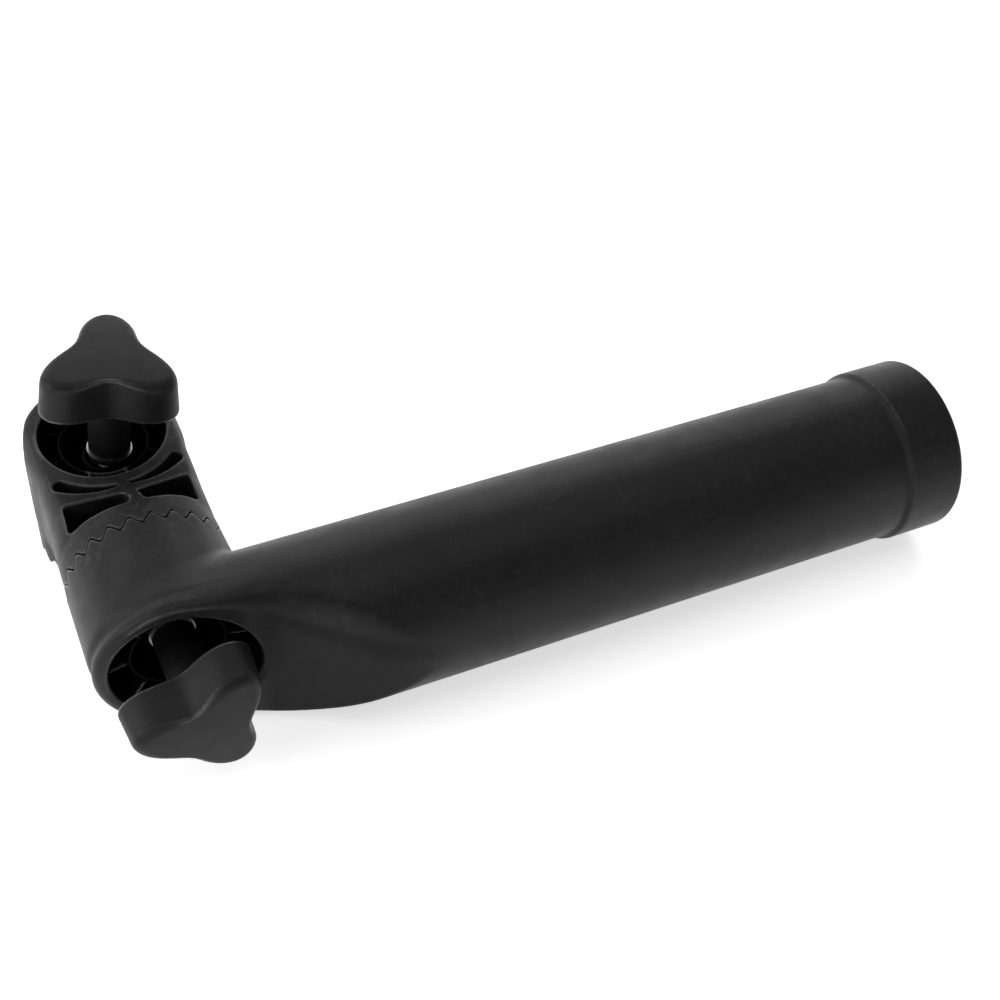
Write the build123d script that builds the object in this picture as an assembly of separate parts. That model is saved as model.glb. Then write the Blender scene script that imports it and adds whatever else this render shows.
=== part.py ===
"""Adjustable rod holder: a serrated swivel arm, a rod tube on a serrated tilt joint, and two knobs.

Frame, in millimetres: the origin is the centre of the serrated swivel face under the arm, +Z is the swivel
axis, the arm reaches along -Y to the tilt joint, and the rod tube points along +X.
"""
from build123d import *
import math
import os

# ---- swivel arm -------------------------------------------------------------------------------------
ARM_REACH = 44.5            # swivel axis to the tilt joint's tooth plane
AXIS_HEIGHT = 26.0          # tilt axis above the swivel face
ARM_TOP = 44.5              # flat top of the arm
ARM_UNDERSIDE = 7.5         # flat underside of the arm between the two hubs
SWIVEL_RADIUS = 24.1        # upright swivel hub
BARREL_HALF_WIDTH = 23.3    # arm between the two hubs
BARREL_HALF_HEIGHT = 23.4   # before the flat top and bottom are cut
BARREL_POWER = 4.0          # squareness of the arm's section, where 2 is an ellipse
TOP_HALF_WIDTH = 20.6       # flat top, from the middle to the shoulder's crease
SHOULDER_HALF_WIDTH = 24.2
SHOULDER_HEIGHT = 35.5      # where the rounded shoulder meets the upright side
RING_LENGTH = 8.3           # round collar behind the arm's teeth
RECESS_RADIUS = 19.4        # knob recess in the arm's top
RECESS_FLOOR = 22.0
RING_WALL = 4.1             # wall round the recess, out to the crescent slots
BOSS_RADIUS = 7.4
RIB_THICKNESS = 1.5
RIB_COUNT = 8
SWIVEL_BOSS_TOP = 34.2
SWIVEL_RIB_RING = 13.5      # inner ring of the recess ribs
SWIVEL_RIB_TURN = -122.0    # degrees, first rib from +X
WALL_RIB_TOP = 39.0
RING_TOP = 39.6
POCKET_FLOOR = 12.0
SLOT_FLOOR = 20.0
STUD_BOSS_RADIUS = 9.5      # round boss for the tilt stud, seen inside the wedge pockets
STUD_BOSS_LENGTH = 21.0
STUD_HOLE_DEPTH = 16.0

# ---- serrated joints --------------------------------------------------------------------------------
JOINT_RADIUS = 24.85
JOINT_INNER_RADIUS = 14.5
TOOTH_COUNT = 24
TOOTH_HEIGHT = 3.0          # at the rim, shrinking towards the axis
CREST_HALF_ANGLE = 1.35     # degrees
MESH_GAP = 0.15             # axial gap between two meshed rings
RELEASE_TRAVEL = 3.4        # axial travel that clears the teeth

# ---- rod tube ---------------------------------------------------------------------------------------
TUBE_OFFSET = 36.0          # tooth plane to the tube's axis
TUBE_RADIUS_HUB = 27.07
TUBE_RADIUS_MOUTH = 27.32
TUBE_BORE_RADIUS = 24.0
TUBE_END = 252.9
COLLAR_START = 234.2
COLLAR_RADIUS = 28.7
COLLAR_RAMP = 2.6           # length of the slope from the tube up to the collar
HUB_FACE = 37.9             # tooth plane to the hub's front face, on the tilt axis
HUB_RADIUS_FRONT = 26.0
HUB_RECESS_RADIUS = 20.9
HUB_RECESS_FLOOR = 17.0     # tooth plane to the recess floor
TILT_RIB_RING = 14.2
HUB_BLEND_START = -14.0     # where the tube's near end begins to swell out of the hub
HUB_BLEND_RADIUS = 20.0
TILT_BOSS_TOP = 22.7        # tooth plane to the washer's seat
WALL = 3.2
CAVITY_START = 5.0          # inner end of the hollow, behind the hub's recess wall
BORE_START = 68.0           # where the plain bore begins, past the slanted end
BORE_STEP = 0.3             # how much narrower the hollow is before that
FACE_SLOPE = 0.2            # how the hub's face falls away towards the tube
SLANT = ((20, 4.6), (28, 8.8), (36, 12.9), (44, 17.4), (53, 21.9), (64, 25.0), (78, 26.4))  # along, forward
SLANT_START = 14.0

# ---- knobs, studs and washers -----------------------------------------------------------------------
KNOB_MEAN_RADIUS = 17.15
KNOB_LOBE = 4.8             # how far the three lobes stand out and the hollows go in
KNOB_NARROWING = 0.45       # makes the lobes narrower and the hollows wider
KNOB_SIDE_HEIGHT = 13.4
KNOB_CROWN = 1.5            # rise of the domed face above its edge
KNOB_DRAFT = 4.5            # degrees
KNOB_EDGE_ROUND = 2.4
KNOB_WALL = 2.7
STEM_RADIUS = 6.45
STEM_LENGTH = 23.1          # knob rim to the stem's foot
STUD_RADIUS = 3.95
STUD_LENGTH = 38.2          # out of the stem's foot
STUD_EMBED = 15.0           # inside the stem
STUD_HEAD_FLATS = 9.0       # moulded-in hexagon that keys the stud to the knob
STUD_HEAD_LENGTH = 4.0
THREAD_PITCH = 1.25
THREAD_DEPTH = 0.45
WASHER_RADIUS = 6.95
WASHER_THICKNESS = 1.6
STUD_HOLE_RADIUS = 4.4
NUT_FLATS = 13.0
NUT_THICKNESS = 6.5
NUT_START = 4.6             # tooth plane to the nut, going into the arm
NUT_BORE_RADIUS = 4.02
RETAINER_RADIUS = 6.8
RETAINER_THICKNESS = 1.2
RETAINER_DEPTH = 26.6       # stem's foot to the retaining washer

# ---- how the loose swivel knob leans in its hole ----------------------------------------------------
LEAN = 5.5                  # degrees towards +X
PIVOT_HEIGHT = 20.0
SWIVEL_KNOB_RISE = 39.8     # pivot to knob rim, along the leaning stud
SWIVEL_KNOB_TURN = 76.0     # degrees, first lobe from +X
TILT_KNOB_TURN = 54.0
UNDER_RECESS_RADIUS = 10.5
UNDER_RECESS_TOP = 14.0

TOOTH_PLANE_Y = -ARM_REACH
TUBE_AXIS_Y = TOOTH_PLANE_Y - TUBE_OFFSET
BEYOND = 60.0               # far enough for a cutter to pass right through the part


def superellipse_face(y, half_width, half_height, power, points=32):
    """Closed smooth section in the plane at y, centred on the tilt axis."""
    outline = []
    for i in range(points):
        angle = 2 * math.pi * i / points
        c, s = math.cos(angle), math.sin(angle)
        x = half_width * math.copysign(abs(c) ** (2 / power), c)
        z = half_height * math.copysign(abs(s) ** (2 / power), s)
        outline.append((x, y, AXIS_HEIGHT + z))
    return Face(Wire([Edge.make_spline([Vector(p) for p in outline], periodic=True)]))


def cylinder_y(radius, y_from, y_to, x=0.0, z=AXIS_HEIGHT):
    """Cylinder about an axis parallel to Y."""
    plane = Plane(origin=(x, y_from, z), x_dir=(1, 0, 0), z_dir=(0, 1, 0))
    return extrude(plane * Circle(radius), amount=y_to - y_from)


def cylinder_z(radius, z_from, z_to):
    """Cylinder about the swivel axis."""
    return extrude(Plane.XY.offset(z_from) * Circle(radius), amount=z_to - z_from)


def tooth_ring():
    """Ring of radial teeth on +Z, with its pitch plane at z = 0 and a crest on +X."""
    pitch = 360.0 / TOOTH_COUNT
    root_half_angle = pitch / 2 - CREST_HALF_ANGLE
    sections = []
    for radius in (JOINT_INNER_RADIUS - 1.0, JOINT_RADIUS + 1.0):
        half_height = TOOTH_HEIGHT / 2 * radius / JOINT_RADIUS
        crest = radius * math.tan(math.radians(CREST_HALF_ANGLE))
        root = radius * math.tan(math.radians(root_half_angle))
        sunk = TOOTH_HEIGHT
        sections.append(Face(Wire.make_polygon([
            (radius, -root, -sunk), (radius, root, -sunk), (radius, root, -half_height),
            (radius, crest, half_height), (radius, -crest, half_height), (radius, -root, -half_height),
        ])))
    tooth = loft(sections, ruled=True)
    teeth = [Rot(0, 0, pitch * i) * tooth for i in range(TOOTH_COUNT)]
    blank = extrude(Plane.XY.offset(-TOOTH_HEIGHT) * (Circle(JOINT_RADIUS) - Circle(JOINT_INNER_RADIUS)),
                    amount=TOOTH_HEIGHT * 2)
    floor = root_cone()
    return (floor + teeth) & blank


def root_cone():
    """The valley surface between the teeth: a shallow cone that falls towards the rim."""
    depth = TOOTH_HEIGHT / 2
    profile = Plane.XZ * Polygon(
        (0.2, -TOOTH_HEIGHT), (JOINT_RADIUS + 1, -TOOTH_HEIGHT),
        (JOINT_RADIUS + 1, -depth * (JOINT_RADIUS + 1) / JOINT_RADIUS), (0.2, -0.01), align=None)
    return revolve(profile, Axis.Z)


def barrel():
    """Arm from the round tilt hub to the squarer body over the swivel hub."""
    start = TOOTH_PLANE_Y + MESH_GAP + TOOTH_HEIGHT
    collar_end = TOOTH_PLANE_Y + RING_LENGTH
    sections = [
        superellipse_face(start, 24.75, 24.75, 2.0),
        superellipse_face(collar_end, 24.3, 24.3, 2.1),
        superellipse_face(collar_end + 9.5, 23.6, 23.9, 2.9),
        superellipse_face(collar_end + 19.0, BARREL_HALF_WIDTH, BARREL_HALF_HEIGHT, BARREL_POWER),
        superellipse_face(0.0, BARREL_HALF_WIDTH + 0.5, BARREL_HALF_HEIGHT, BARREL_POWER),
    ]
    return loft(sections)


def shoulder_profile():
    """Section that every part of the arm stays inside: upright sides with rounded shoulders."""
    bottom = -6.0
    shoulder = (SHOULDER_HALF_WIDTH + TOP_HALF_WIDTH) / 2 + 0.75
    height = (SHOULDER_HEIGHT + ARM_TOP) / 2 + 0.9
    low_end = (SHOULDER_HALF_WIDTH, SHOULDER_HEIGHT)
    right = ThreePointArc(low_end, (shoulder, height), (TOP_HALF_WIDTH, ARM_TOP))
    rise = ARM_TOP + 12.0
    lines = [
        Line((-SHOULDER_HALF_WIDTH, bottom), (SHOULDER_HALF_WIDTH, bottom)),
        Line((SHOULDER_HALF_WIDTH, bottom), (SHOULDER_HALF_WIDTH, SHOULDER_HEIGHT)),
        right,
        Line((TOP_HALF_WIDTH, ARM_TOP), (TOP_HALF_WIDTH, rise)),
        Line((TOP_HALF_WIDTH, rise), (-TOP_HALF_WIDTH, rise)),
        Line((-TOP_HALF_WIDTH, rise), (-TOP_HALF_WIDTH, ARM_TOP)),
        mirror(right, Plane.YZ),
        Line((-SHOULDER_HALF_WIDTH, SHOULDER_HEIGHT), (-SHOULDER_HALF_WIDTH, bottom)),
    ]
    return make_face(Curve() + lines)


def top_cutter():
    """Everything above the arm's top: level over the recess, rising in a smooth step to the round collar."""
    collar_end = TOOTH_PLANE_Y + RING_LENGTH
    crown = AXIS_HEIGHT + JOINT_RADIUS
    step = Spline([(collar_end, crown), (collar_end + 4.6, crown - 2.4), (collar_end + 10.6, ARM_TOP)],
                  tangents=[(1, -0.12), (1, 0)])
    high = crown + 20
    level_from = (collar_end + 10.6, ARM_TOP)
    ring_side = (collar_end - 3, crown + 0.36)
    lines = [
        step,
        Line(level_from, (BEYOND, ARM_TOP)),
        Line((BEYOND, ARM_TOP), (BEYOND, high)),
        Line((BEYOND, high), (ring_side[0], high)),
        Line((ring_side[0], high), ring_side),
        Line(ring_side, (collar_end, crown)),
    ]
    return extrude(Plane.YZ * make_face(Curve() + lines), amount=BEYOND, both=True)


def wedge_pocket(side):
    """Wedge-shaped weight-saving pocket beside the middle rib; side is -1 or +1."""
    front = TOOTH_PLANE_Y + RING_LENGTH + 0.4
    outline = Polygon(
        (side * 2.2, front - 0.7), (side * 19.4, front + 0.3), (side * 19.2, front + 8.9),
        (side * 17.6, front + 8.9), (side * 2.2, front + 7.7), align=None)
    outline = fillet(outline.vertices().filter_by(lambda v: abs(v.X) < 3), 2.6)
    outline = fillet(outline.vertices().filter_by(lambda v: abs(v.X) > 19), 0.9)
    return extrude(Plane.XY.offset(POCKET_FLOOR) * outline, amount=BEYOND)


def crescent_slot(side):
    """Curved slot between the recess wall and the web, pointed at the middle; side is -1 or +1."""
    inner = RECESS_RADIUS + RING_WALL
    tip = inner + 0.7

    def on_wall(degrees, radius=inner):
        angle = math.radians(degrees)
        return (side * radius * math.sin(angle), -radius * math.cos(angle))

    wall_end = on_wall(46)
    web_end = (side * 19.3, wall_end[1] - 3.6)
    lines = [
        ThreePointArc(on_wall(4.2), on_wall(25), wall_end),
        ThreePointArc(wall_end, (side * 19.4, wall_end[1] - 0.9), web_end),
        ThreePointArc(web_end, (side * 12.4, -23.4), (side * 1.8, -tip)),
        Line((side * 1.8, -tip), on_wall(4.2)),
    ]
    return extrude(Plane.XY.offset(SLOT_FLOOR) * make_face(Curve() + lines), amount=BEYOND)


def recess_ribs(radius, ring_radius, floor, wall_top, ring_top, boss_top, phase):
    """Inner ring and eight radial ribs that stiffen a knob recess, about the +Z axis."""
    half = RIB_THICKNESS / 2
    sunk = 0.5
    ring = Plane.XY.offset(floor) * (Circle(ring_radius + half) - Circle(ring_radius - half))
    body = extrude(ring, amount=ring_top - floor)
    spoke = Plane.XZ * Polygon(
        (BOSS_RADIUS - sunk, floor), (radius + sunk, floor), (radius + sunk, wall_top),
        (ring_radius + sunk, ring_top), (BOSS_RADIUS - sunk, boss_top - RIB_THICKNESS), align=None)
    blade = extrude(spoke, amount=half, both=True)
    blades = [Rot(0, 0, phase + 360 / RIB_COUNT * i) * blade for i in range(RIB_COUNT)]
    return body + blades


def swivel_bore():
    """Hole for the swivel stud: narrow at the pivot and flared both ways, so that the stud can rock."""
    slope = math.tan(math.radians(LEAN + 0.6))
    top = ARM_TOP
    bottom = -TOOTH_HEIGHT
    mouth = STUD_HOLE_RADIUS + slope * (PIVOT_HEIGHT - bottom)
    throat = STUD_HOLE_RADIUS + slope * (top - PIVOT_HEIGHT)
    profile = Plane.XZ * Polygon(
        (0, bottom), (mouth, bottom), (STUD_HOLE_RADIUS, PIVOT_HEIGHT), (throat, top), (0, top), align=None)
    return revolve(profile, Axis.Z)


def hexagon_prism(flats, length):
    """Hexagonal prism on +Z from z = 0."""
    return extrude(RegularPolygon(flats / 2, 6, major_radius=False), amount=length)


def swivel_arm():
    """The arm: swivel hub, barrel, tooth rings, knob recess, pockets and bores."""
    hub = cylinder_z(SWIVEL_RADIUS, TOOTH_HEIGHT, ARM_TOP)
    body = barrel() + hub
    body = body & extrude(Plane.XZ * shoulder_profile(), amount=BEYOND, both=True)
    body -= top_cutter()
    under_length = ARM_REACH - RING_LENGTH
    under_cut = Pos(0, -under_length / 2, ARM_UNDERSIDE - BEYOND / 2) * Box(BEYOND, under_length, BEYOND)
    body -= under_cut - cylinder_z(SWIVEL_RADIUS, -BEYOND, BEYOND)
    body -= cylinder_z(RECESS_RADIUS, RECESS_FLOOR, BEYOND)
    stud_boss = cylinder_y(STUD_BOSS_RADIUS, TOOTH_PLANE_Y + TOOTH_HEIGHT, TOOTH_PLANE_Y + STUD_BOSS_LENGTH)
    for side in (-1, 1):
        body -= wedge_pocket(side) - stud_boss
        body -= crescent_slot(side)
    floor = RECESS_FLOOR - 0.5
    body += recess_ribs(RECESS_RADIUS, SWIVEL_RIB_RING, floor, WALL_RIB_TOP, RING_TOP, SWIVEL_BOSS_TOP,
                        SWIVEL_RIB_TURN)
    body += cylinder_z(BOSS_RADIUS, floor, SWIVEL_BOSS_TOP)
    body -= cylinder_z(UNDER_RECESS_RADIUS, -BEYOND, UNDER_RECESS_TOP)
    body -= swivel_bore()
    body += Rot(180, 0, 0) * tooth_ring() & cylinder_z(SWIVEL_RADIUS, -BEYOND, BEYOND)
    tilt_plane = Plane(origin=(0, TOOTH_PLANE_Y + MESH_GAP, AXIS_HEIGHT), x_dir=(0, 0, 1), z_dir=(0, -1, 0))
    body += tilt_plane.location * tooth_ring()
    body -= cylinder_y(STUD_HOLE_RADIUS, TOOTH_PLANE_Y - TOOTH_HEIGHT, TOOTH_PLANE_Y + STUD_HOLE_DEPTH)
    body -= nut_plane().location * hexagon_prism(NUT_FLATS, NUT_THICKNESS)
    return body


def nut_plane():
    """Plane of the captive nut's near face, with +Z into the arm."""
    return Plane(origin=(0, TOOTH_PLANE_Y + NUT_START, AXIS_HEIGHT), x_dir=(0, 0, 1), z_dir=(0, 1, 0))


def tilt_nut():
    """Hexagonal nut moulded into the arm, which the tilt stud screws into."""
    nut = hexagon_prism(NUT_FLATS, NUT_THICKNESS) - Cylinder(NUT_BORE_RADIUS, BEYOND)
    return nut_plane().location * nut


def front_profile(shift):
    """Hub face, running into the slanted closed end of the tube; shift moves it back towards the arm."""
    face = TOOTH_PLANE_Y - HUB_FACE + shift
    left = (-BEYOND, face + BEYOND * FACE_SLOPE / 2)
    start = (SLANT_START, face - SLANT_START * FACE_SLOPE)
    points = [start] + [(along, face - forward) for along, forward in SLANT]
    end = points[-1]
    low = face - BEYOND
    lines = [
        Line(left, start),
        Spline(points, tangents=[(1, -FACE_SLOPE), (1, -0.04)]),
        Line(end, (end[0], low)),
        Line((end[0], low), (left[0], low)),
        Line((left[0], low), left),
    ]
    return make_face(Curve() + lines)


def front_cutter(shift=0.0):
    """Everything in front of the hub face and the slanted closed end."""
    return extrude(Plane.XY * front_profile(shift), amount=BEYOND, both=True)


def tube_cone(radius_start, radius_end, start, end):
    """Slightly tapered round body along the tube's axis."""
    plane = Plane(origin=(start, TUBE_AXIS_Y, AXIS_HEIGHT), x_dir=(0, 1, 0), z_dir=(1, 0, 0))
    far = plane.offset(end - start)
    return loft([plane * Circle(radius_start), far * Circle(radius_end)], ruled=True)


def rod_tube():
    """Rod tube with its hub, collar, closed slanted end, knob recess and tooth ring."""
    back = Plane(origin=(0, TOOTH_PLANE_Y - TOOTH_HEIGHT, AXIS_HEIGHT), x_dir=(1, 0, 0), z_dir=(0, -1, 0))
    front = back.offset(HUB_FACE + 8)
    hub = loft([back * Circle(JOINT_RADIUS), front * Circle(HUB_RADIUS_FRONT + 0.25)], ruled=True)
    outside = tube_cone(TUBE_RADIUS_HUB, TUBE_RADIUS_MOUTH, 0, TUBE_END) + hub
    outside += tube_cone(HUB_BLEND_RADIUS, TUBE_RADIUS_HUB, HUB_BLEND_START, 0)
    outside -= front_cutter()
    outside += tube_cone(TUBE_RADIUS_MOUTH - 0.1, COLLAR_RADIUS, COLLAR_START - COLLAR_RAMP, COLLAR_START)
    outside += tube_cone(COLLAR_RADIUS, COLLAR_RADIUS, COLLAR_START, TUBE_END)
    inner_radius = TUBE_BORE_RADIUS - BORE_STEP
    cavity = tube_cone(inner_radius, inner_radius, CAVITY_START, BORE_START) - front_cutter(WALL)
    cavity += tube_cone(TUBE_BORE_RADIUS, TUBE_BORE_RADIUS, BORE_START, TUBE_END + 1)
    far_front = TOOTH_PLANE_Y - HUB_FACE - BEYOND
    cavity -= cylinder_y(HUB_RECESS_RADIUS + WALL, far_front, TOOTH_PLANE_Y)
    body = outside - cavity
    body -= cylinder_y(HUB_RECESS_RADIUS, far_front, TOOTH_PLANE_Y - HUB_RECESS_FLOOR)
    seat = Plane(origin=(0, TOOTH_PLANE_Y, AXIS_HEIGHT), x_dir=(1, 0, 0), z_dir=(0, -1, 0))
    floor = HUB_RECESS_FLOOR - 0.5
    ribs = recess_ribs(HUB_RECESS_RADIUS, TILT_RIB_RING, floor, HUB_FACE - 6.0, HUB_FACE - 7.5,
                       TILT_BOSS_TOP, 0)
    body += seat.location * ribs
    body += cylinder_y(BOSS_RADIUS, TOOTH_PLANE_Y - TILT_BOSS_TOP, TOOTH_PLANE_Y - floor)
    back = Plane(origin=(0, TOOTH_PLANE_Y, AXIS_HEIGHT), x_dir=(0, 0, 1), z_dir=(0, 1, 0))
    body += back.location * Rot(0, 0, 180.0 / TOOTH_COUNT) * tooth_ring()
    body -= cylinder_y(STUD_HOLE_RADIUS, TOOTH_PLANE_Y - BEYOND, TOOTH_PLANE_Y + TOOTH_HEIGHT)
    return body


def knob_outline(inset=0.0, height=0.0, points=36):
    """Three-lobed outline with a lobe on +X."""
    path = []
    for i in range(points):
        angle = 2 * math.pi * i / points
        lobe = KNOB_LOBE * math.cos(3 * angle) + KNOB_NARROWING * math.cos(6 * angle)
        radius = KNOB_MEAN_RADIUS + lobe - inset
        path.append(Vector(radius * math.cos(angle), radius * math.sin(angle), height))
    return Face(Wire([Edge.make_spline(path, periodic=True)]))


def lobed_block(inset, height):
    """Lobed block from z = 0 whose sides draw in as they rise."""
    draw = height * math.tan(math.radians(KNOB_DRAFT))
    return loft([knob_outline(inset), knob_outline(inset + draw, height)], ruled=True)


def knob():
    """Three-lobe knob on +Z with its rim at z = 0, cored underneath, with its stem down to the foot."""
    shell = lobed_block(0.0, KNOB_SIDE_HEIGHT + 6)
    reach = KNOB_MEAN_RADIUS + KNOB_LOBE
    dome_radius = (reach ** 2 + KNOB_CROWN ** 2) / (2 * KNOB_CROWN)
    dome = Pos(0, 0, KNOB_SIDE_HEIGHT + KNOB_CROWN - dome_radius) * Sphere(dome_radius)
    shell = shell & dome
    edge = shell.faces().sort_by(Axis.Z)[-1].edges()
    shell = fillet(edge, KNOB_EDGE_ROUND)
    hollow = lobed_block(KNOB_WALL, KNOB_SIDE_HEIGHT - 3.5)
    rib = Box(2 * reach, 1.8, 2 * (KNOB_SIDE_HEIGHT - 3.5))
    ribs = [Rot(0, 0, 60 * i) * rib for i in range(3)]
    hollow = hollow - Cylinder(STEM_RADIUS + 1.2, BEYOND) - ribs
    body = shell - hollow
    body += extrude(Plane.XY.offset(-STEM_LENGTH) * Circle(STEM_RADIUS), amount=STEM_LENGTH + 4)
    body -= stud_blank()
    return body


def stud_blank():
    """Space of the stud inside the stem."""
    shank = extrude(Plane.XY.offset(-STEM_LENGTH - 1) * Circle(STUD_RADIUS), amount=STUD_EMBED + 0.5)
    return shank + stud_head()


def stud_head():
    """Hexagonal head at the stud's moulded-in end."""
    start = -STEM_LENGTH + STUD_EMBED - STUD_HEAD_LENGTH
    return Pos(0, 0, start) * hexagon_prism(STUD_HEAD_FLATS, STUD_HEAD_LENGTH)


def stud(groove=None):
    """Threaded stud moulded into a knob; groove is the depth of a retaining-washer groove from the foot."""
    top = -STEM_LENGTH + STUD_EMBED - 0.5
    tip = -STEM_LENGTH - STUD_LENGTH
    chamfer = 0.9
    outline = [(0, top), (STUD_RADIUS, top), (STUD_RADIUS, -STEM_LENGTH - 2.0)]
    turns = int((STUD_LENGTH - 4.0) / THREAD_PITCH)
    for i in range(turns):
        z = -STEM_LENGTH - 2.0 - THREAD_PITCH * i
        outline.append((STUD_RADIUS - THREAD_DEPTH, z - THREAD_PITCH * 0.5))
        outline.append((STUD_RADIUS, z - THREAD_PITCH))
    outline += [(STUD_RADIUS, tip + chamfer), (STUD_RADIUS - chamfer, tip), (0, tip)]
    body = revolve(Plane.XZ * Polygon(*outline, align=None), Axis.Z)
    body += stud_head()
    if groove:
        low = -STEM_LENGTH - groove - RETAINER_THICKNESS - 0.05
        ring = Circle(STUD_RADIUS + 1) - Circle(STUD_RADIUS - 0.7)
        body -= extrude(Plane.XY.offset(low) * ring, amount=RETAINER_THICKNESS + 0.1)
    return body


def washer():
    """Flat steel washer between a stem's foot and its seat."""
    top = -STEM_LENGTH
    ring = Circle(WASHER_RADIUS) - Circle(STUD_RADIUS + 0.25)
    return extrude(Plane.XY.offset(top - WASHER_THICKNESS) * ring, amount=WASHER_THICKNESS)


def retainer():
    """Small washer snapped into the swivel stud's groove, which keeps the loose knob in the arm."""
    low = -STEM_LENGTH - RETAINER_DEPTH - RETAINER_THICKNESS
    ring = Circle(RETAINER_RADIUS) - Circle(STUD_RADIUS - 0.65)
    return extrude(Plane.XY.offset(low) * ring, amount=RETAINER_THICKNESS)


def swivel_place():
    """Place of the leaning swivel knob, with the knob rim's plane at local z = 0."""
    leaning = Pos(0, 0, PIVOT_HEIGHT) * Rot(0, LEAN, 0)
    return leaning * Pos(0, 0, SWIVEL_KNOB_RISE) * Rot(0, 0, SWIVEL_KNOB_TURN)


def tilt_place():
    """Place of the tilt knob, which points along -Y."""
    rim = TILT_BOSS_TOP + WASHER_THICKNESS + STEM_LENGTH
    plane = Plane(origin=(0, TOOTH_PLANE_Y - rim, AXIS_HEIGHT), x_dir=(1, 0, 0), z_dir=(0, -1, 0))
    return plane.location * Rot(0, 0, TILT_KNOB_TURN)


def main():
    os.makedirs("parts", exist_ok=True)
    nodes = {
        "swivel_arm": swivel_arm(),
        "tilt_nut": tilt_nut(),
        "rod_tube": rod_tube(),
        "tilt_knob": tilt_place() * knob(),
        "tilt_stud": tilt_place() * stud(),
        "tilt_washer": tilt_place() * washer(),
        "swivel_knob": swivel_place() * knob(),
        "swivel_stud": swivel_place() * stud(RETAINER_DEPTH),
        "swivel_washer": swivel_place() * washer(),
        "swivel_retainer": swivel_place() * retainer(),
    }
    for name, shape in nodes.items():
        export_step(shape, "parts/" + name + ".step")
        print(name, "volume", round(shape.volume / 1000, 2), "cm3")


main()
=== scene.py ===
"""Looks of the adjustable rod holder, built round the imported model.

Shapes are worked out as distance fields in millimetres, in the row frame, and turned into meshes in metres.
"""

import math

import bpy
import numpy as np
import openvdb
from mathutils import Matrix, Vector


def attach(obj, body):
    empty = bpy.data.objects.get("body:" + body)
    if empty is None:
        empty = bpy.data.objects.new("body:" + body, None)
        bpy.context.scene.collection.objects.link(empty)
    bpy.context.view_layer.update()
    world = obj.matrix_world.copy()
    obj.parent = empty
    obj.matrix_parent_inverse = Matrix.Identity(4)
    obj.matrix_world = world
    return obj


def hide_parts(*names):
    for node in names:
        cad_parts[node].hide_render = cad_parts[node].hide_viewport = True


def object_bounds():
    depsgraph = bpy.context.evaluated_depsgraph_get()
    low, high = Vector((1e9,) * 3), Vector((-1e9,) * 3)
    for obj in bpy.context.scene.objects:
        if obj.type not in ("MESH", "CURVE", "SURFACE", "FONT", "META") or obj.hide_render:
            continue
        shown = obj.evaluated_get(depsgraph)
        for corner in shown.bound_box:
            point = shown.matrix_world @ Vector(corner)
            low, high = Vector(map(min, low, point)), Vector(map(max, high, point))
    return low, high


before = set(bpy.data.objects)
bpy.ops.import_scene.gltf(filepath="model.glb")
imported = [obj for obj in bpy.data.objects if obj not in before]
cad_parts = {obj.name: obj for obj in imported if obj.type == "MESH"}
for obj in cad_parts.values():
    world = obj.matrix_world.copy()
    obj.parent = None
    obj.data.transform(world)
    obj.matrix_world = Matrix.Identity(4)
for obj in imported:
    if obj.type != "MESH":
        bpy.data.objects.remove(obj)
cad_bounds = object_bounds()

MM = 0.001

# ---- sizes, in millimetres, as in the model -----------------------------------------------------------
# arm
ARM_REACH = 44.5            # swivel axis to tooth plane
AXIS_HEIGHT = 26.0          # swivel face to tilt axis
ARM_TOP = 44.5
ARM_UNDERSIDE = 18.5        # below the tilt axis
JOINT_CLEARANCE = 12.0      # extra room under the round end of the arm
RING_LENGTH = 8.3           # tooth plane to the end of the round collar
SWIVEL_RADIUS = 24.1
RECESS_RADIUS = 19.4
RECESS_FLOOR = 22.0
RING_WALL = 4.1             # recess to crescent slots
SWIVEL_BOSS_TOP = 34.2
SWIVEL_RIB_RING = 13.5      # radius of the thin ring that crosses the ribs
SWIVEL_RIB_TOP = 39.0
SWIVEL_RING_TOP = 39.6
SWIVEL_RIB_PHASE = -122     # degrees from +X to one of the eight ribs
POCKET_FLOOR = 12.0
SLOT_FLOOR = 20.0
MIDDLE_RIB_HALF = 1.85
MIDDLE_RIB_SHIFT = 1.0      # the rib between the pockets stands a little off the middle
STUD_BOSS_RADIUS = 9.5
STUD_BOSS_LENGTH = 21.0
STUD_HOLE_RADIUS = 4.4
STUD_HOLE_DEPTH = 16.0
UNDER_RECESS_RADIUS = 10.5
UNDER_RECESS_TOP = 14.0

# ribs and bosses in both knob recesses
BOSS_RADIUS = 7.4
RIB_THICKNESS = 0.8
RIB_DIP = 5.0               # how far the inner spokes fall below the boss

# teeth
JOINT_RADIUS = 24.85
JOINT_INNER_RADIUS = 14.5
TOOTH_COUNT = 24
TOOTH_HEIGHT = 3.0
CREST_HALF_ANGLE = 0.9      # degrees
GROOVE_GAP = 0.34           # keeps each ring's surface clear of the other's
TOOTH_EDGE = 0.3            # rounding of the teeth at the rim
TOOTH_LIMIT = 26.0          # clear of either ring of teeth, on the side where the body carries on
RELIEF_DEPTH = 0.9          # the teeth's relief is whole this far back from their plane
RELIEF_FADE = 4.5

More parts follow.
